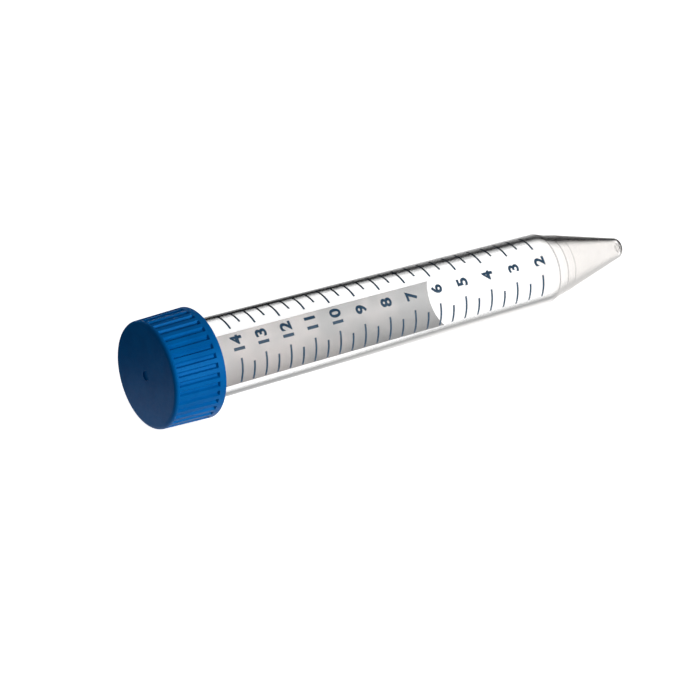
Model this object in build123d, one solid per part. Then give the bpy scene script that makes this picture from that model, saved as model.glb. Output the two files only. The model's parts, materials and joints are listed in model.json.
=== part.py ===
from build123d import *
import math
import os

# A 15 ml conical tube with a screw cap, lying on its side. All sizes are in millimetres.
# It is first drawn standing upright, with its axis on Z, its tip at height 0 and its cap on
# top, and is then laid down on the two rings that it rests on: the cap's rim and the shoulder.

# Tube: one clear moulding, open at the top
CLOSED_LENGTH = 120.0        # from the tip to the flat top of the closed cap
BODY_RADIUS = 8.25           # outside, level with the cap's rim
BODY_DRAFT = 0.465           # degrees, the straight body narrows towards the tip
WALL = 0.81                  # of the body and the neck
CONE_WALL = 0.60             # of the cone and the tip's side
CONE_HEIGHT = 16.8           # from the tip to the top of the straight cone
COLLAR_HEIGHT = 2.3          # the steeper band above the cone
COLLAR_STEP = 0.42           # how much the radius grows over that band
SHOULDER_HEIGHT = 2.8        # from the band to the straight body
SHOULDER_STEP = 0.85         # how much the radius grows over the shoulder
SHOULDER_ROUNDING = 3.0
TIP_RADIUS = 2.0             # where the cone's line meets the tip's plane
TIP_ROUNDING = 1.1
TIP_FLOOR = 1.1              # solid plastic below the cavity
GATE_RADIUS = 0.45           # the moulding nub in the middle of the tip
GATE_HEIGHT = 0.2

# Neck thread: one ridge that winds round the neck under the cap
THREAD_PITCH = 3.2
THREAD_TURNS = 1.5
THREAD_HEIGHT = 0.75
THREAD_ROOT_WIDTH = 1.5
THREAD_CREST_WIDTH = 0.6
THREAD_START = 1.6           # from the mouth down to the middle of the first ridge
THREAD_START_ANGLE = -132.0  # degrees round the tube, from the middle of the scale to the lower end
THREAD_SINK = 0.3            # how far the ridge is rooted in the neck's wall
THREAD_END_SLOPE = 35.0      # degrees, how each end of the ridge runs down to the neck

# Cap: one coloured moulding
CAP_HEIGHT = 11.5
CAP_WALL = 2.0               # of the skirt, at the open rim
CAP_DRAFT = 1.7              # degrees, the cap narrows towards its flat top
CAP_EDGE = 0.85              # rounding between the side and the flat top
CAP_TOP_WALL = 1.3
CAP_RIM_BAND = 1.4           # the plain band below the ribs
CAP_MOUTH_CHAMFER = 0.4
CAP_GATE_RADIUS = 1.0        # the moulding dimple in the middle of the flat top
CAP_GATE_DEPTH = 0.3
RIB_COUNT = 36
GROOVE_DEPTH = 0.45          # between two ribs
GROOVE_WIDTH = 1.15          # across the mouth of a groove
GROOVE_SLOPE = 34.0          # degrees that its sides and ends lean outwards
SEAL_DEPTH = 2.2             # the ring inside the cap that plugs the tube's mouth
SEAL_WALL = 0.9
SEAL_CHAMFER = 0.4

# Clearances
THREAD_CLEARANCE = 0.25      # from the ridge's crest to the cap's bore
MOUTH_CLEARANCE = 0.1        # from the tube's lip to the cap's end wall
SEAL_CLEARANCE = 0.06        # from the seal ring to the inside of the mouth
INK_CLEARANCE = 0.01         # from the tube's wall to the print

# Print: a scale of millilitre marks, and a plain writing panel on the opposite side
INK_THICKNESS = 0.03
FIRST_MARK = 2               # millilitres
SCALE_TOP_GAP = 2.0          # the least distance from the cap's rim down to the top mark
MARK_WIDTH = 0.45            # along the tube
MARK_OUTER_ANGLE = 59.5      # degrees from the middle of the scale to each mark's outer end
LONG_MARK_ANGLE = 37.1       # degrees that a whole millilitre's mark covers
SHORT_MARK_ANGLE = 28.8      # degrees that a half millilitre's mark covers
PANEL_ANGLE = 80.0           # degrees that the panel covers
PANEL_TOP_GAP = 5.0          # from the cap's rim down to the panel
PANEL_LENGTH = 58.0

# How the tube lies
PRINT_ROLL = 48.0            # degrees from straight up to the middle of the scale

MICROLITRES = 1000.0         # cubic millimetres in one millilitre

rim_height = CLOSED_LENGTH - CAP_HEIGHT
mouth_height = CLOSED_LENGTH - CAP_TOP_WALL - MOUTH_CLEARANCE
collar_bottom = CONE_HEIGHT
collar_top = collar_bottom + COLLAR_HEIGHT
shoulder_top = collar_top + SHOULDER_HEIGHT


def body_radius(height):
    """Outside radius of the straight body and the neck, which share one draft."""
    return BODY_RADIUS + (height - rim_height) * math.tan(math.radians(BODY_DRAFT))


collar_top_radius = body_radius(shoulder_top) - SHOULDER_STEP
cone_top_radius = collar_top_radius - COLLAR_STEP
mouth_radius = body_radius(mouth_height)
mouth_bore = mouth_radius - WALL
cap_bore = mouth_radius + THREAD_HEIGHT + THREAD_CLEARANCE
cap_rim_radius = cap_bore + CAP_WALL
cap_top_radius = cap_rim_radius - CAP_HEIGHT * math.tan(math.radians(CAP_DRAFT))
cavity_bottom = GATE_HEIGHT + TIP_FLOOR
cone_slope = (cone_top_radius - TIP_RADIUS) / (CONE_HEIGHT - GATE_HEIGHT)
cavity_tip_radius = TIP_RADIUS + cone_slope * TIP_FLOOR - CONE_WALL


def outer_corners():
    """Corners (radius, height) of the tube's outside, from the tip to the mouth."""
    return [
        (TIP_RADIUS, GATE_HEIGHT),
        (cone_top_radius, collar_bottom),
        (collar_top_radius, collar_top),
        (body_radius(shoulder_top), shoulder_top),
        (mouth_radius, mouth_height),
    ]


def inner_corners():
    """Corners (radius, height) of the cavity, from its floor to the mouth."""
    return [
        (cavity_tip_radius, cavity_bottom),
        (cone_top_radius - CONE_WALL, collar_bottom),
        (collar_top_radius - CONE_WALL, collar_top),
        (body_radius(shoulder_top) - WALL, shoulder_top),
        (mouth_bore, mouth_height),
    ]


def turned(corners):
    """The solid that a closed outline of (radius, height) corners makes round the axis."""
    points = [(0, corners[0][1])] + corners + [(0, corners[-1][1])]
    outline = Polyline(*[(radius, 0, height) for radius, height in points], close=True)
    return revolve(make_face(outline), Axis.Z)


def ring_edge(solid, radius, height):
    """The circular edge of a turned solid at one corner of its outline."""
    def miss(edge):
        middle = edge.position_at(0.25)
        return abs(math.hypot(middle.X, middle.Y) - radius) + abs(middle.Z - height)
    circles = [edge for edge in solid.edges() if edge.geom_type == GeomType.CIRCLE]
    return min(circles, key=miss)


def thread_section(path):
    """The ridge's section at the start of the helix: wide in the wall, narrow at its crest."""
    root = THREAD_ROOT_WIDTH / 2
    crest = THREAD_CREST_WIDTH / 2
    start = path @ 0
    plane = Plane(origin=start, x_dir=Vector(start.X, start.Y, 0), z_dir=path % 0)
    corners = [
        (-THREAD_SINK, -root),
        (0, -root),
        (THREAD_HEIGHT, -crest),
        (THREAD_HEIGHT, crest),
        (0, root),
        (-THREAD_SINK, root),
    ]
    return plane * make_face(Polyline(*corners, close=True))


def end_slope(point, off):
    """A block over one end of the ridge that slopes it down to the neck; off leaves the ridge."""
    outward = Vector(point.X, point.Y, 0).normalized()
    slope = math.radians(THREAD_END_SLOPE)
    plane = Plane(origin=point, x_dir=(0, 0, 1), z_dir=off * math.sin(slope) + outward * math.cos(slope))
    size = 2 * THREAD_HEIGHT / math.sin(slope)
    return plane * Pos(0, 0, size / 2) * Box(THREAD_PITCH, 2 * size, size)


def neck_thread():
    """A helical ridge whose two ends slope down to the neck."""
    length = THREAD_PITCH * THREAD_TURNS
    bottom = mouth_height - THREAD_START - length
    path = Pos(0, 0, bottom) * Helix(pitch=THREAD_PITCH, height=length, radius=mouth_radius)
    ridge = sweep(thread_section(path), path=path, is_frenet=True)
    ridge = ridge - end_slope(path @ 0, -(path % 0)) - end_slope(path @ 1, path % 1)
    return Rot(0, 0, THREAD_START_ANGLE) * ridge


def make_tube():
    """The clear tube: a drafted body, a rounded shoulder and a cone with a blunt tip."""
    outside = turned(outer_corners())
    outside = fillet(ring_edge(outside, body_radius(shoulder_top), shoulder_top), SHOULDER_ROUNDING)
    outside = fillet(ring_edge(outside, TIP_RADIUS, GATE_HEIGHT), TIP_ROUNDING)
    cavity = turned(inner_corners())
    cavity = fillet(ring_edge(cavity, body_radius(shoulder_top) - WALL, shoulder_top), SHOULDER_ROUNDING)
    gate = Pos(0, 0, GATE_HEIGHT) * Cylinder(GATE_RADIUS, 2 * GATE_HEIGHT)
    return outside + gate + neck_thread() - cavity


def make_cap():
    """The screw cap: a ribbed skirt, a flat top and a ring that plugs the tube's mouth."""
    shell = turned([(cap_rim_radius, rim_height), (cap_top_radius, CLOSED_LENGTH)])
    shell = fillet(ring_edge(shell, cap_top_radius, CLOSED_LENGTH), CAP_EDGE)
    shell -= rib_grooves()
    roof = CLOSED_LENGTH - CAP_TOP_WALL
    bore = turned([
        (cap_bore + CAP_MOUTH_CHAMFER, rim_height),
        (cap_bore, rim_height + CAP_MOUTH_CHAMFER),
        (cap_bore, roof),
    ])
    seal_radius = mouth_bore - SEAL_CLEARANCE
    seal = turned([
        (seal_radius - SEAL_CHAMFER, roof - SEAL_DEPTH),
        (seal_radius, roof - SEAL_DEPTH + SEAL_CHAMFER),
        (seal_radius, roof),
    ])
    seal_bore = Pos(0, 0, roof - SEAL_DEPTH / 2) * Cylinder(seal_radius - SEAL_WALL, SEAL_DEPTH)
    dimple = Pos(0, 0, CLOSED_LENGTH) * Cylinder(CAP_GATE_RADIUS, 2 * CAP_GATE_DEPTH)
    return shell - bore + (seal - seal_bore) - dimple


def rib_grooves():
    """The grooves between the ribs, which follow the skirt's draft and slope out at both ends."""
    rim = Vector(cap_rim_radius, 0, rim_height)
    upward = (Vector(cap_top_radius, 0, CLOSED_LENGTH) - rim).normalized()
    outward = Vector(upward.Z, 0, -upward.X)
    length = CAP_HEIGHT - CAP_RIM_BAND - CAP_EDGE
    middle = rim + upward * (CAP_RIM_BAND + length / 2)
    lean = GROOVE_DEPTH * math.tan(math.radians(GROOVE_SLOPE))
    floor_length = length - 2 * lean
    floor_width = GROOVE_WIDTH - 2 * lean
    along_skirt = Plane(origin=middle, x_dir=upward, z_dir=upward.cross(outward))
    groove = along_skirt * Wedge(
        floor_length,
        2 * GROOVE_DEPTH,
        floor_width,
        -2 * lean,
        -2 * lean,
        floor_length + 2 * lean,
        floor_width + 2 * lean,
    )
    return [location * groove for location in PolarLocations(0, RIB_COUNT)]


def long_side(start, end):
    """A straight side drawn as a curve, so that the facets of the patch run its full length."""
    return Bezier(start, (start + end) / 2, end)


def ink_patch(low, high, start_angle, sweep_angle):
    """A thin patch of print on the drafted body, between two heights and two angles."""
    inner_low = Vector(body_radius(low) + INK_CLEARANCE, 0, low)
    inner_high = Vector(body_radius(high) + INK_CLEARANCE, 0, high)
    outwards = Vector(INK_THICKNESS, 0, 0)
    outer_low = inner_low + outwards
    outer_high = inner_high + outwards
    outline = [
        long_side(inner_low, inner_high),
        Line(inner_high, outer_high),
        long_side(outer_high, outer_low),
        Line(outer_low, inner_low),
    ]
    patch = revolve(make_face(outline), Axis.Z, sweep_angle)
    return Rot(0, 0, start_angle) * patch


def mark_height(volume):
    """Height of the liquid's surface when the upright tube holds a volume in microlitres."""
    corners = inner_corners()
    for (low_radius, low), (high_radius, high) in zip(corners, corners[1:]):
        slope = (high_radius - low_radius) / (high - low)
        section = math.pi / (3 * slope) * (high_radius**3 - low_radius**3)
        if volume <= section:
            return low + (math.cbrt(low_radius**3 + 3 * slope * volume / math.pi) - low_radius) / slope
        volume -= section
    raise ValueError("the tube doesn't hold this volume")


def last_mark():
    """The highest whole millilitre whose mark clears the closed cap."""
    mark = FIRST_MARK
    while mark_height((mark + 1) * MICROLITRES) < rim_height - SCALE_TOP_GAP:
        mark += 1
    return mark


def make_marks():
    """The scale: a long pair of marks at each millilitre and a short pair half-way between."""
    marks = []
    for half_millilitres in range(2 * FIRST_MARK, 2 * last_mark() + 1):
        angle = SHORT_MARK_ANGLE if half_millilitres % 2 else LONG_MARK_ANGLE
        height = mark_height(half_millilitres / 2 * MICROLITRES)
        low = height - MARK_WIDTH / 2
        high = height + MARK_WIDTH / 2
        marks.append(ink_patch(low, high, -MARK_OUTER_ANGLE, angle))
        marks.append(ink_patch(low, high, MARK_OUTER_ANGLE - angle, angle))
    return Compound(children=marks)


def make_panel():
    """The writing panel on the side opposite the scale."""
    top = rim_height - PANEL_TOP_GAP
    return ink_patch(top - PANEL_LENGTH, top, 180 - PANEL_ANGLE / 2, PANEL_ANGLE)


def lying_plane():
    """The plane that an upright piece is moved to so that it lies on its two resting rings."""
    tilt = math.atan2(cap_rim_radius - body_radius(shoulder_top), rim_height - shoulder_top)
    towards_cap = Vector(-math.cos(tilt), 0, math.sin(tilt))
    above = Vector(math.sin(tilt), 0, math.cos(tilt))
    roll = math.radians(PRINT_ROLL)
    scale_side = above * math.cos(roll) + Vector(0, -1, 0) * math.sin(roll)
    return Plane(origin=(0, 0, 0), x_dir=scale_side, z_dir=towards_cap)


pieces = {
    "tube": make_tube(),
    "cap": make_cap(),
    "graduation_marks": make_marks(),
    "writing_panel": make_panel(),
}
lying = {name: lying_plane().location * piece for name, piece in pieces.items()}

# The origin is on the floor, under the middle of the whole part
box = lying["tube"].bounding_box().add(lying["cap"].bounding_box())
to_origin = Pos(-box.center().X, -box.center().Y, -box.min.Z)

os.makedirs("parts", exist_ok=True)
for name, piece in lying.items():
    export_step(to_origin * piece, f"parts/{name}.step")
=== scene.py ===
import json
import math

import bmesh
import bpy
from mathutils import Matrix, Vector


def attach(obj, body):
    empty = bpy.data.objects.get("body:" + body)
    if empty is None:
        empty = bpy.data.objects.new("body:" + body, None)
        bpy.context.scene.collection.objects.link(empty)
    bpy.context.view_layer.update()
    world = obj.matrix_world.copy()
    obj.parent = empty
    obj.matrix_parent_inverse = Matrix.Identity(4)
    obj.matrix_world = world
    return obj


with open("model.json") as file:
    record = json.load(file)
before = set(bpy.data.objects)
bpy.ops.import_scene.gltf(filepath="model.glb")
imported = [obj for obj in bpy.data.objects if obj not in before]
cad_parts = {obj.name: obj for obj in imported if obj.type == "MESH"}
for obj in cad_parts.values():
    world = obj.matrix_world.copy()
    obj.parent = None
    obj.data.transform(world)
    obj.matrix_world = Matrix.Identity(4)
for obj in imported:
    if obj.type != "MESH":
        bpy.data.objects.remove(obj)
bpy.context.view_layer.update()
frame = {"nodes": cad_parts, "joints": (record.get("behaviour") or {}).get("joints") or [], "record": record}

# Lengths are in metres and angles in degrees, unless a comment says otherwise.

# Print
FIRST_NUMBER = 2                 # millilitres at the lowest mark
NUMERAL_HEIGHT = 0.00265         # along the tube
NUMERAL_WIDTH_SHARE = 1.12       # of the font's own width
NUMERAL_WEIGHT = 0.035           # how much the strokes are thickened, in the font's own units
NUMERAL_STEP = 0.00025           # length of the facets that bend a numeral round the tube
NUMERAL_SHARE = 0.8              # of the ink's thickness
LEVEL_GAP = 0.001                # marks further apart than this along the tube are on two levels

# Tube. Places are measured along its axis from its tip. Turned away is 0 where the tube faces the
# eye and 1 at its silhouette. A look changes from one end of a pair to the other.
TIP_FLOOR = 0.0013               # the solid plastic at the tip
SOLID_TIP = (0.75 * TIP_FLOOR, 1.25 * TIP_FLOOR)
TIP_FLOOR_MARGIN = 0.0001        # the cavity's floor may lie this much lower
WALL_MIDDLE = ((0.0, 0.0016), (0.0219, 0.0072), (0.1180, 0.0080))   # (place, radius) half-way through
ROUND_TIP = (0.0006, 0.0020)
TIP_END = (0.0, 0.003)
MILKY_CONE = (0.016, 0.022)
WHOLE_CONE = (0.021, 0.024)
BY_CAP = (0.03, 0.10)
# Between these places painted warm light rises on the panel's side against the wall, towards the cap
PAINTED_WARM_LIGHT_ON_PANEL = (0.050, 0.105)
THREAD_RADII = (0.00845, 0.00880)   # through these the neck's thread stands out of the neck

# Painted shade: darker rings in the tube's see-through colour, where the steps of its wall bend the light
WALL_STEPS = {
    # place: how dark its ring of painted shade is
    0.0168: 0.5,                 # the cone's top
    0.0191: 0.8,                 # the collar's top
    0.0219: 1.0,                 # the shoulder's top
    0.1182: 0.9,                 # the mouth
}
RING_HALF_WIDTHS = (0.00030, 0.00090)   # facing the eye, and at the tube's edges
RINGS_WIDEN = (0.50, 0.85)       # turned away, where they go from the one to the other
RING_SHARES = (0.62, 0.95)       # how dark they are, facing the eye and at the tube's edges
RINGS_DARKEN = (0.50, 0.80)      # turned away, where they go from the one to the other

# Gloss of the tube's wall
EDGE_STARTS = (0.40, 0.49)       # turned away, where it sets in: by the tip, and by the cap
SOONER_ON_CONE = (0.04, 0.13)    # and how much sooner: at the tip's end, and on the rest of the cone
EDGE_SPAN = 0.20                 # how much further the gloss is whole
WHOLE_SHARES = (0.96, 1.0)       # its share there: by the tip, and by the cap
SILHOUETTE = 0.97                # turned away, where it is weaker again
SILHOUETTE_LOSS = 0.55           # what its share has lost by there
OUTERMOST = (0.58, 0.76)         # turned away, where it takes its outer colour
OUTERMOST_SHARES = (1.0, 0.10)   # how much it takes of that colour: by the tip, and by the cap

# Thread inside the cap
RIDGE_PITCH = 0.0032
RIDGE_TURNS = 1.75
RIDGE_ROOM = 0.00005             # between it and the tube's own thread
RIDGE_ROOT_WIDTH = 0.0012
RIDGE_CREST_WIDTH = 0.0006
RIDGE_DEPTH_IN_CAP = 0.0045      # from the cap's rim to the ridge's lowest point
RIDGE_STEPS_PER_TURN = 72
RIDGE_RUN_OUT = 30.0             # over this angle each end fades into the bore
RIM_DEPTH = 0.001                # the bore is measured within this depth of the cap's rim

# Surfaces
NOISE_ROUGHNESS = 0.55
NOISE_RANGE = (0.3, 0.7)         # most of a noise's values lie between these

# Camera
CAMERA_AZIMUTH = 35.37           # of the line of sight, from +Y towards +X
CAMERA_ELEVATION = 27.27
CAMERA_DISTANCE = 0.7136
CAMERA_TARGET = Vector((-0.01056, 0.0, 0.00288))
CAMERA_LENS = 179.2              # millimetres
SENSOR_WIDTH = 36.0              # millimetres

# Studio
FLOOR_SIZE = 3.0
FLOOR_GLOW = 0.85                # the floor's own light near the part; 1 far away
GLOW_RISE = (0.15, 0.60)         # between these distances it rises
REFLECTED_FLOOR = (0.034, 0.050)   # between these distances the floor fades out of what gloss sees
FLOOR_OVAL = (0.55, 1.0, 1.0)    # scales X in both distances, because the part is long
FILL = (0.10, 0.10, 0.10)        # light from all round
DARK_WALL = (0.015, 0.015, 0.017)   # what gloss sees of the studio's sides
PALE_CEILING = (0.4, 0.4, 0.4)   # and of its ceiling
CEILING_HEIGHTS = (0.60, 0.85)   # from the one to the other, as the height on a sphere of radius 1
LAMPS = {
    # name: (direction from the part, distance, width, watts)
    "key": (Vector((0.40, -0.90, 0.24)), 0.70, 0.40, 5.05),
    "side": (Vector((-1.0, -0.30, 0.12)), 0.70, 0.45, 0.55),
    "back": (Vector((0.35, 0.90, 0.16)), 0.70, 0.45, 4.2),
}

tube_cad = frame["nodes"]["tube"]
cap_cad = frame["nodes"]["cap"]
marks_cad = frame["nodes"]["graduation_marks"]
panel_cad = frame["nodes"]["writing_panel"]

mounts = {mount["name"]: mount for mount in frame["record"]["mounts"]}
on_axis = Vector(mounts["rack_seat"]["pos_m"])
towards_cap = Vector(frame["joints"][0]["axis"]).normalized()


def beside_axis(point):
    """The part of a point's position that is square to the tube's axis."""
    offset = point - on_axis
    return offset - towards_cap * offset.dot(towards_cap)


# The scale is symmetric about its middle, so its mean position shows which side it is on
scale_side = sum((beside_axis(v.co) for v in marks_cad.data.vertices), Vector()).normalized()
across_scale = towards_cap.cross(scale_side)


def cylindrical(node):
    """A node's points as (place along the axis, angle round it in radians, radius)."""
    points = []
    for vertex in node.data.vertices:
        out = beside_axis(vertex.co)
        angle = math.atan2(out.dot(across_scale), out.dot(scale_side))
        points.append(((vertex.co - on_axis).dot(towards_cap), angle, out.length))
    return points


def at(along, angle, radius):
    """The point at a place along the axis, an angle round it in radians and a radius."""
    out = scale_side * math.cos(angle) + across_scale * math.sin(angle)
    return on_axis + towards_cap * along + out * radius


def scale_marks():
    """Each level of the scale from the tip up, as (place along, inner radius, outer radius)."""
    points = sorted(cylindrical(marks_cad))
    levels = [[points[0]]]
    for point in points[1:]:
        if point[0] - levels[-1][-1][0] > LEVEL_GAP:
            levels.append([])
        levels[-1].append(point)
    found = []
    for level in levels:
        radii = [radius for _, _, radius in level]
        along = (level[0][0] + level[-1][0]) / 2
        found.append((along, min(radii), max(radii)))
    return found


# ---------------------------------------------------------------- shader helpers

def new_material(name):
    material = bpy.data.materials.new(name)
    material.use_nodes = True
    material.node_tree.nodes.clear()
    return material, material.node_tree


def add(tree, kind, inputs=None, **settings):
    """A new shader node. An input is either a value or the output socket that feeds it."""
    node = tree.nodes.new(kind)
    for key, value in settings.items():
        setattr(node, key, value)
    for key, value in (inputs or {}).items():
        if isinstance(value, bpy.types.NodeSocket):
            tree.links.new(value, node.inputs[key])
        else:
            node.inputs[key].default_value = value
    return node


def math_node(tree, operation, *values):
    return add(tree, "ShaderNodeMath", dict(enumerate(values)), operation=operation).outputs[0]


def vector_node(tree, operation, *values, scale=None):
    inputs = dict(enumerate(values))
    if scale is not None:
        inputs["Scale"] = scale
    node = add(tree, "ShaderNodeVectorMath", inputs, operation=operation)
    return node.outputs["Value" if operation == "DOT_PRODUCT" else "Vector"]


def vector_length(tree, vector):
    return add(tree, "ShaderNodeVectorMath", {0: vector}, operation="LENGTH").outputs["Value"]


def ramp(tree, factor, low, high, low_value=0.0, high_value=1.0, form="SMOOTHSTEP"):
    """Maps a factor between low and high to a value, smoothly and clamped."""
    inputs = {0: factor, "From Min": low, "From Max": high, "To Min": low_value, "To Max": high_value}
    return add(tree, "ShaderNodeMapRange", inputs, interpolation_type=form).outputs[0]


def noise(tree, scale, detail=3.0):
    """Fine random variation fixed to the piece. Scale is in features per metre."""
    place = add(tree, "ShaderNodeTexCoord").outputs["Object"]
    inputs = {"Vector": place, "Scale": scale, "Detail": detail, "Roughness": NOISE_ROUGHNESS}
    return add(tree, "ShaderNodeTexNoise", inputs).outputs["Fac"]


def mottle(tree, scale, low_value=0.0, high_value=1.0, detail=3.0):
    """Noise spread over the values from one to another."""
    return ramp(tree, noise(tree, scale, detail), *NOISE_RANGE, low_value, high_value)


def mixed_colour(tree, factor, first, second):
    node = add(tree, "ShaderNodeMix", {"Factor": factor}, data_type="RGBA")
    for socket, colour in ((6, first), (7, second)):
        if isinstance(colour, bpy.types.NodeSocket):
            tree.links.new(colour, node.inputs[socket])
        else:
            node.inputs[socket].default_value = (*colour, 1.0)
    return node.outputs[2]


def bump(tree, height, strength, distance):
    inputs = {"Height": height, "Strength": strength, "Distance": distance}
    return add(tree, "ShaderNodeBump", inputs).outputs["Normal"]


def mixed_shader(tree, share, first, second):
    return add(tree, "ShaderNodeMixShader", {0: share, 1: first, 2: second}).outputs[0]


def facing_away(tree, normal=None):
    """0 where the surface, or a given normal, faces the eye, and 1 where it is square to the view."""
    inputs = {"Blend": 0.5}
    if normal is not None:
        inputs["Normal"] = normal
    return add(tree, "ShaderNodeLayerWeight", inputs).outputs["Facing"]


def finish_material(tree, shader):
    add(tree, "ShaderNodeOutputMaterial", {"Surface": shader})


def away_from_axis(tree):
    """The part of a shaded point's position that is square to the tube's axis."""
    place = add(tree, "ShaderNodeTexCoord").outputs["Object"]
    offset = vector_node(tree, "SUBTRACT", place, on_axis)
    along = vector_node(tree, "DOT_PRODUCT", offset, towards_cap)
    return vector_node(tree, "SUBTRACT", offset, vector_node(tree, "SCALE", towards_cap, scale=along))


def faces_outwards(tree):
    """1 where the side that is seen looks away from the tube's axis, 0 where it looks towards it."""
    normal = add(tree, "ShaderNodeTexCoord").outputs["Normal"]
    turned = vector_node(tree, "DOT_PRODUCT", normal, away_from_axis(tree))
    return math_node(tree, "GREATER_THAN", turned, 0.0)


def turned_away(tree, from_tip):
    """0 where the tube faces the eye, 1 at its silhouette; its cone counts as its body does."""
    outwards = vector_node(tree, "NORMALIZE", away_from_axis(tree))
    settings = {"vector_type": "VECTOR", "convert_from": "OBJECT", "convert_to": "WORLD"}
    in_world = add(tree, "ShaderNodeVectorTransform", {"Vector": outwards}, **settings).outputs[0]
    around = facing_away(tree, in_world)
    round_tip = ramp(tree, from_tip, *ROUND_TIP, 1.0, 0.0)
    around_or_tip = math_node(tree, "MAXIMUM", around, round_tip)
    return math_node(tree, "MINIMUM", facing_away(tree), around_or_tip)


def place_from_tip(tree):
    """How far a shaded point lies from the tube's tip, along its axis."""
    tip = min(along for along, _, _ in cylindrical(tube_cad))
    place = add(tree, "ShaderNodeTexCoord").outputs["Object"]
    offset = vector_node(tree, "SUBTRACT", place, on_axis + towards_cap * tip)
    return vector_node(tree, "DOT_PRODUCT", offset, towards_cap)


# ---------------------------------------------------------------- materials

def cap_plastic():
    """Satin moulded blue, slightly mottled, with a fine grain."""
    material, tree = new_material("blue_cap_plastic")
    inputs = {
        "Base Color": mixed_colour(tree, mottle(tree, 220.0), (0.0, 0.106, 0.36), (0.0, 0.126, 0.41)),
        "Roughness": mottle(tree, 1500.0, 0.42, 0.52),
        "IOR": 1.33,
        "Specular Tint": (0.03, 0.38, 1.0, 1.0),
        "Normal": bump(tree, noise(tree, 5200.0, detail=4.0), 0.25, 0.00002),
    }
    finish_material(tree, add(tree, "ShaderNodeBsdfPrincipled", inputs).outputs[0])
    return material


def dark_ink():
    """Dark blue screen print, a little uneven in depth, and glossy where it turns away."""
    material, tree = new_material("dark_blue_ink")
    cover = ramp(tree, noise(tree, 1800.0, detail=4.0), 0.32, 0.68)
    colour = mixed_colour(tree, cover, (0.009, 0.040, 0.080), (0.017, 0.065, 0.125))
    inputs = {
        "Base Color": colour,
        "Roughness": mottle(tree, 900.0, 0.42, 0.6),
        "IOR": 1.45,
        "Normal": bump(tree, noise(tree, 7000.0), 0.3, 0.00001),
    }
    matt = add(tree, "ShaderNodeBsdfPrincipled", inputs).outputs[0]
    gloss_inputs = {"Color": (0.5, 0.5, 0.5, 1.0), "Roughness": 0.1}
    gloss = add(tree, "ShaderNodeBsdfGlossy", gloss_inputs).outputs[0]
    gloss_share = ramp(tree, facing_away(tree), 0.34, 0.60, 0.0, 0.85)
    finish_material(tree, mixed_shader(tree, gloss_share, matt, gloss))
    return material


def panel_ink():
    """White print, white outside; on the clear wall's side it has painted grey shade and, by the cap,
    painted warm light.
    """
    material, tree = new_material("white_panel_ink")
    speckle = mottle(tree, 2600.0, detail=5.0)
    white = mixed_colour(tree, speckle, (0.80, 0.80, 0.79), (0.88, 0.88, 0.87))
    uneven_place = math_node(tree, "ADD", place_from_tip(tree), mottle(tree, 90.0, -0.02, 0.02))
    painted_warm_light = ramp(tree, uneven_place, *PAINTED_WARM_LIGHT_ON_PANEL)
    # Painted shade: the panel's side against the clear wall is grey, with painted warm light by the cap
    painted_shade_backing = mixed_colour(tree, painted_warm_light, (0.61, 0.61, 0.61), (0.88, 0.83, 0.81))
    colour = mixed_colour(tree, faces_outwards(tree), painted_shade_backing, white)
    inputs = {
        "Base Color": colour,
        "Roughness": ramp(tree, speckle, 0.0, 1.0, 0.5, 0.65),
        "IOR": 1.45,
        "Normal": bump(tree, noise(tree, 6000.0), 0.3, 0.00001),
    }
    finish_material(tree, add(tree, "ShaderNodeBsdfPrincipled", inputs).outputs[0])
    return material


def bent_light(tree, from_tip, radius, facing):
    """Above 0 where shade is painted for the light that the wall's form bends: at its rings, its thread and
    its solid tip.
    """
    half_width = ramp(tree, facing, *RINGS_WIDEN, *RING_HALF_WIDTHS)
    solid_tip = ramp(tree, from_tip, *SOLID_TIP, 1.0, 0.0)
    places = math_node(tree, "MAXIMUM", solid_tip, ramp(tree, radius, *THREAD_RADII))
    for place, strength in WALL_STEPS.items():
        away = math_node(tree, "ABSOLUTE", math_node(tree, "SUBTRACT", from_tip, place))
        ring = ramp(tree, away, 0.0, half_width, strength, 0.0)
        places = math_node(tree, "MAXIMUM", places, ring)
    return places


def outer_surface(tree, from_tip, radius):
    """1 on the tube's outer surface seen from outside, 0 on its inner surface."""
    (tip, tip_radius), (shoulder, shoulder_radius), (mouth, mouth_radius) = WALL_MIDDLE
    cone = ramp(tree, from_tip, tip, shoulder, tip_radius, shoulder_radius, "LINEAR")
    body = ramp(tree, from_tip, shoulder, mouth, 0.0, mouth_radius - shoulder_radius, "LINEAR")
    outer = math_node(tree, "GREATER_THAN", radius, math_node(tree, "ADD", cone, body))
    under_floor = math_node(tree, "LESS_THAN", from_tip, TIP_FLOOR - TIP_FLOOR_MARGIN)
    outer = math_node(tree, "MAXIMUM", outer, under_floor)
    return math_node(tree, "MULTIPLY", outer, faces_outwards(tree))


def edge_gloss(tree, facing, by_cap, on_cone, from_tip):
    """How much of the clear wall is gloss: none facing the eye, nearly all along its edges."""
    sooner = math_node(tree, "MULTIPLY", on_cone, ramp(tree, from_tip, *TIP_END, *SOONER_ON_CONE))
    start = math_node(tree, "SUBTRACT", ramp(tree, by_cap, 0.0, 1.0, *EDGE_STARTS), sooner)
    whole = math_node(tree, "ADD", start, EDGE_SPAN)
    closed = ramp(tree, facing, start, whole)
    opened = ramp(tree, facing, whole, SILHOUETTE, 0.0, SILHOUETTE_LOSS)
    deepest = ramp(tree, by_cap, 0.0, 1.0, *WHOLE_SHARES)
    return math_node(tree, "MULTIPLY", closed, math_node(tree, "SUBTRACT", deepest, opened))


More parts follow.
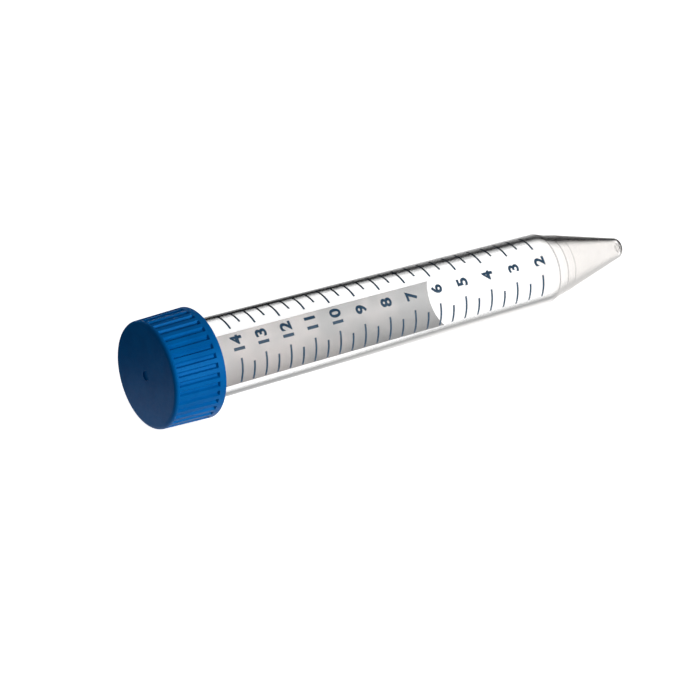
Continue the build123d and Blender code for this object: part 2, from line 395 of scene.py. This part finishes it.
def clear_plastic():
    """Clear plastic: seen through where it faces the eye, and a gloss that closes up at its edges."""
    material, tree = new_material("clear_tube_plastic")
    from_tip = place_from_tip(tree)
    facing = turned_away(tree, from_tip)
    radius = vector_length(tree, away_from_axis(tree))
    outside = outer_surface(tree, from_tip, radius)
    by_cap = ramp(tree, from_tip, *BY_CAP)
    on_cone = ramp(tree, from_tip, *WHOLE_CONE, 1.0, 0.0)
    milk = ramp(tree, from_tip, *MILKY_CONE, 1.0, 0.0)

    clear = mixed_colour(tree, milk, (0.99, 0.99, 0.99), (0.945, 0.936, 0.928))
    # Painted shade: the see-through colour turns dark at the rings, the thread and the solid tip, where the
    # wall bends the light, and darker towards the tube's edges
    bent = math_node(tree, "MULTIPLY", bent_light(tree, from_tip, radius, facing), outside)
    painted_ring_shade = math_node(tree, "MULTIPLY", bent, ramp(tree, facing, *RINGS_DARKEN, *RING_SHARES))
    see_through_with_painted_shade = mixed_colour(tree, painted_ring_shade, clear, (0.12, 0.11, 0.11))
    through = add(tree, "ShaderNodeBsdfTransparent", {"Color": see_through_with_painted_shade}).outputs[0]

    cloud = mottle(tree, 160.0, 0.7, 1.3, detail=2.0)
    haze_share = math_node(tree, "MULTIPLY", cloud, ramp(tree, milk, 0.0, 1.0, 0.02, 0.06))
    haze_inputs = {"Base Color": (0.9, 0.89, 0.88, 1.0), "Roughness": 0.5, "IOR": 1.5}
    haze = add(tree, "ShaderNodeBsdfPrincipled", haze_inputs).outputs[0]
    hazy = mixed_shader(tree, haze_share, through, haze)

    outer_share = ramp(tree, by_cap, 0.0, 1.0, *OUTERMOST_SHARES)
    outermost = ramp(tree, facing, *OUTERMOST, 0.0, outer_share)
    innermost = mixed_colour(tree, on_cone, (0.28, 0.28, 0.28), (0.48, 0.47, 0.46))
    gloss_inputs = {
        "Color": mixed_colour(tree, outermost, innermost, (0.66, 0.65, 0.64)),
        "Roughness": mottle(tree, 700.0, 0.05, 0.11),
    }
    gloss = add(tree, "ShaderNodeBsdfGlossy", gloss_inputs).outputs[0]
    edges = edge_gloss(tree, facing, by_cap, on_cone, from_tip)
    seen = mixed_shader(tree, math_node(tree, "MULTIPLY", edges, outside), hazy, gloss)

    lamp_ray = add(tree, "ShaderNodeLightPath").outputs["Is Shadow Ray"]
    lit_inputs = {"Color": (0.985, 0.985, 0.985, 1.0)}
    lets_light = add(tree, "ShaderNodeBsdfTransparent", lit_inputs).outputs[0]
    finish_material(tree, mixed_shader(tree, lamp_ray, seen, lets_light))
    return material


# ---------------------------------------------------------------- pieces

def new_piece(name, mesh_builder, material, body):
    """Links a mesh built with bmesh as a piece that rides on a body."""
    built = bmesh.new()
    mesh_builder(built)
    bmesh.ops.recalc_face_normals(built, faces=built.faces)
    mesh = bpy.data.meshes.new(name)
    built.to_mesh(mesh)
    built.free()
    mesh.materials.append(material)
    piece = bpy.data.objects.new(name, mesh)
    bpy.context.scene.collection.objects.link(piece)
    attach(piece, body)
    return piece


def flat_numeral(number):
    """A number as a thin flat mesh, centred, its height along Y scaled to the print's."""
    text = bpy.data.curves.new("flat_numeral", "FONT")
    text.body = str(number)
    text.align_x = "CENTER"
    text.offset = NUMERAL_WEIGHT
    text.extrude = 0.5               # each way, so that the number is 1 thick
    text.resolution_u = 6
    holder = bpy.data.objects.new("flat_numeral", text)
    bpy.context.scene.collection.objects.link(holder)
    in_scene = holder.evaluated_get(bpy.context.evaluated_depsgraph_get())
    mesh = bpy.data.meshes.new_from_object(in_scene)
    bpy.data.objects.remove(holder)
    low = Vector([min(v.co[i] for v in mesh.vertices) for i in range(3)])
    high = Vector([max(v.co[i] for v in mesh.vertices) for i in range(3)])
    scale = NUMERAL_HEIGHT / (high.y - low.y)
    for vertex in mesh.vertices:
        x, y, z = vertex.co - (low + high) / 2
        vertex.co = (x * scale * NUMERAL_WIDTH_SHARE, y * scale, z)
    return mesh


def wrapped_numeral(number, level, slope):
    """Builds one number round the tube, beside its mark; its thickness lies within the ink's."""
    along, inner, outer = level
    middle = (inner + outer) / 2
    thickness = (outer - inner) * NUMERAL_SHARE

    def build(built):
        flat = flat_numeral(number)
        built.from_mesh(flat)
        bpy.data.meshes.remove(flat)
        bmesh.ops.remove_doubles(built, verts=built.verts, dist=NUMERAL_STEP / 100)
        half_width = max(v.co.x for v in built.verts)
        steps = math.ceil(half_width / NUMERAL_STEP)
        for step in range(-steps, steps + 1):
            everything = built.verts[:] + built.edges[:] + built.faces[:]
            cut = (step * NUMERAL_STEP, 0, 0)
            bmesh.ops.bisect_plane(built, geom=everything, plane_co=cut, plane_no=(1, 0, 0))
        for vertex in built.verts:
            x, y, z = vertex.co
            radius = middle + y * slope + z * thickness
            vertex.co = at(along + y, x / outer, radius)
    return build


def add_numerals(ink):
    """A number beside every whole millilitre's mark, which is every second level of the scale."""
    levels = scale_marks()
    slope = (levels[-1][1] - levels[0][1]) / (levels[-1][0] - levels[0][0])
    for count, level in enumerate(levels[::2]):
        number = FIRST_NUMBER + count
        new_piece(f"numeral_{number}", wrapped_numeral(number, level, slope), ink, "tube")


def cap_ridge(built):
    """The ridge inside the cap, low enough to pass the tube's thread when the cap is lifted off."""
    cap_points = cylindrical(cap_cad)
    rim = min(along for along, _, _ in cap_points)
    bore = min(radius for along, _, radius in cap_points if along < rim + RIM_DEPTH)
    crest = max(radius for _, _, radius in cylindrical(tube_cad)) + RIDGE_ROOM
    steps = round(RIDGE_TURNS * RIDGE_STEPS_PER_TURN)
    previous = None
    first = None
    for step in range(steps + 1):
        turn = step / RIDGE_STEPS_PER_TURN
        to_end = min(step, steps - step) / RIDGE_STEPS_PER_TURN * 360
        height = (bore - crest) * min(1.0, to_end / RIDGE_RUN_OUT)
        along = rim + RIDGE_DEPTH_IN_CAP + turn * RIDGE_PITCH
        section = [
            (-RIDGE_ROOT_WIDTH / 2, bore),
            (-RIDGE_CREST_WIDTH / 2, bore - height),
            (RIDGE_CREST_WIDTH / 2, bore - height),
            (RIDGE_ROOT_WIDTH / 2, bore),
        ]
        angle = turn * 2 * math.pi
        ring = [built.verts.new(at(along + shift, angle, radius)) for shift, radius in section]
        if previous:
            for i in range(len(ring)):
                j = (i + 1) % len(ring)
                built.faces.new((previous[i], previous[j], ring[j], ring[i]))
        first = first or ring
        previous = ring
    built.faces.new(first)
    built.faces.new(previous)


# ---------------------------------------------------------------- studio

def seen_by_eye(tree, path):
    """1 for what the eye sees directly or through glass, 0 for every other kind of ray."""
    return math_node(tree, "MAXIMUM", path.outputs["Is Camera Ray"], path.outputs["Is Transmission Ray"])


def make_world():
    """White behind the part, soft grey light on it, and dark sides in what its gloss reflects."""
    world = bpy.data.worlds.new("studio")
    world.use_nodes = True
    tree = world.node_tree
    tree.nodes.clear()
    path = add(tree, "ShaderNodeLightPath")
    direction = add(tree, "ShaderNodeTexCoord").outputs["Generated"]
    height = add(tree, "ShaderNodeSeparateXYZ", {0: direction}).outputs["Z"]
    reflected = mixed_colour(tree, ramp(tree, height, *CEILING_HEIGHTS), DARK_WALL, PALE_CEILING)
    light = mixed_colour(tree, path.outputs["Is Glossy Ray"], FILL, reflected)
    colour = mixed_colour(tree, seen_by_eye(tree, path), light, (1.0, 1.0, 1.0))
    background = add(tree, "ShaderNodeBackground", {"Color": colour, "Strength": 1.0})
    add(tree, "ShaderNodeOutputWorld", {"Surface": background.outputs[0]})
    bpy.context.scene.world = world


def floor_material():
    """Pale floor. Its glow leaves hardly any shadow, and what gloss reflects of it fades to dark."""
    material, tree = new_material("pale_floor")
    path = add(tree, "ShaderNodeLightPath")
    glossy = path.outputs["Is Glossy Ray"]
    place = add(tree, "ShaderNodeTexCoord").outputs["Object"]
    oval = vector_node(tree, "MULTIPLY", place, FLOOR_OVAL)
    distance = vector_length(tree, oval)
    reflected = math_node(tree, "MULTIPLY", ramp(tree, distance, *REFLECTED_FLOOR, 1.0, 0.0), glossy)
    shown = math_node(tree, "MAXIMUM", seen_by_eye(tree, path), reflected)
    pale = mixed_colour(tree, mottle(tree, 400.0), (0.80, 0.80, 0.80), (0.82, 0.82, 0.82))
    dim = mixed_colour(tree, glossy, (0.30, 0.30, 0.30), (0.01, 0.01, 0.01))
    paper = mixed_colour(tree, shown, dim, pale)
    diffuse = add(tree, "ShaderNodeBsdfDiffuse", {"Color": paper}).outputs[0]
    strength = math_node(tree, "MULTIPLY", shown, ramp(tree, distance, *GLOW_RISE, FLOOR_GLOW, 1.0))
    glow = add(tree, "ShaderNodeEmission", {"Color": (1, 1, 1, 1), "Strength": strength}).outputs[0]
    finish_material(tree, add(tree, "ShaderNodeAddShader", {0: diffuse, 1: glow}).outputs[0])
    return material


def make_floor():
    built = bmesh.new()
    bmesh.ops.create_grid(built, x_segments=1, y_segments=1, size=FLOOR_SIZE / 2)
    mesh = bpy.data.meshes.new("floor")
    built.to_mesh(mesh)
    built.free()
    mesh.materials.append(floor_material())
    floor = bpy.data.objects.new("floor", mesh)
    bpy.context.scene.collection.objects.link(floor)


def make_lamps():
    """Disk lamps round the part, of which only the key lamp shows in gloss."""
    for name, (direction, distance, width, watts) in LAMPS.items():
        lamp = bpy.data.lights.new(name, "AREA")
        lamp.shape = "DISK"
        lamp.size = width
        lamp.energy = watts
        holder = bpy.data.objects.new(name, lamp)
        holder.location = direction.normalized() * distance
        holder.rotation_euler = direction.to_track_quat("Z", "Y").to_euler()
        holder.visible_glossy = name == "key"
        holder.visible_camera = False
        bpy.context.scene.collection.objects.link(holder)


def make_camera():
    azimuth = math.radians(CAMERA_AZIMUTH)
    elevation = math.radians(CAMERA_ELEVATION)
    level = math.cos(elevation)
    backwards = Vector((-math.sin(azimuth) * level, -math.cos(azimuth) * level, math.sin(elevation)))
    lens = bpy.data.cameras.new("camera")
    lens.lens = CAMERA_LENS
    lens.sensor_width = SENSOR_WIDTH
    lens.clip_start = 0.01
    camera = bpy.data.objects.new("camera", lens)
    camera.location = CAMERA_TARGET + backwards * CAMERA_DISTANCE
    camera.rotation_euler = backwards.to_track_quat("Z", "Y").to_euler()
    bpy.context.scene.collection.objects.link(camera)
    bpy.context.scene.camera = camera


def dress(node, material):
    """Gives a CAD node its material in every slot."""
    if not node.data.materials:
        node.data.materials.append(material)
    for slot in node.material_slots:
        slot.material = material


ink = dark_ink()
blue = cap_plastic()
dress(tube_cad, clear_plastic())
dress(cap_cad, blue)
dress(marks_cad, ink)
dress(panel_cad, panel_ink())
add_numerals(ink)
new_piece("cap_inner_thread", cap_ridge, blue, "cap")

make_world()
make_floor()
make_lamps()
make_camera()
bpy.context.scene.view_settings.view_transform = "Standard"
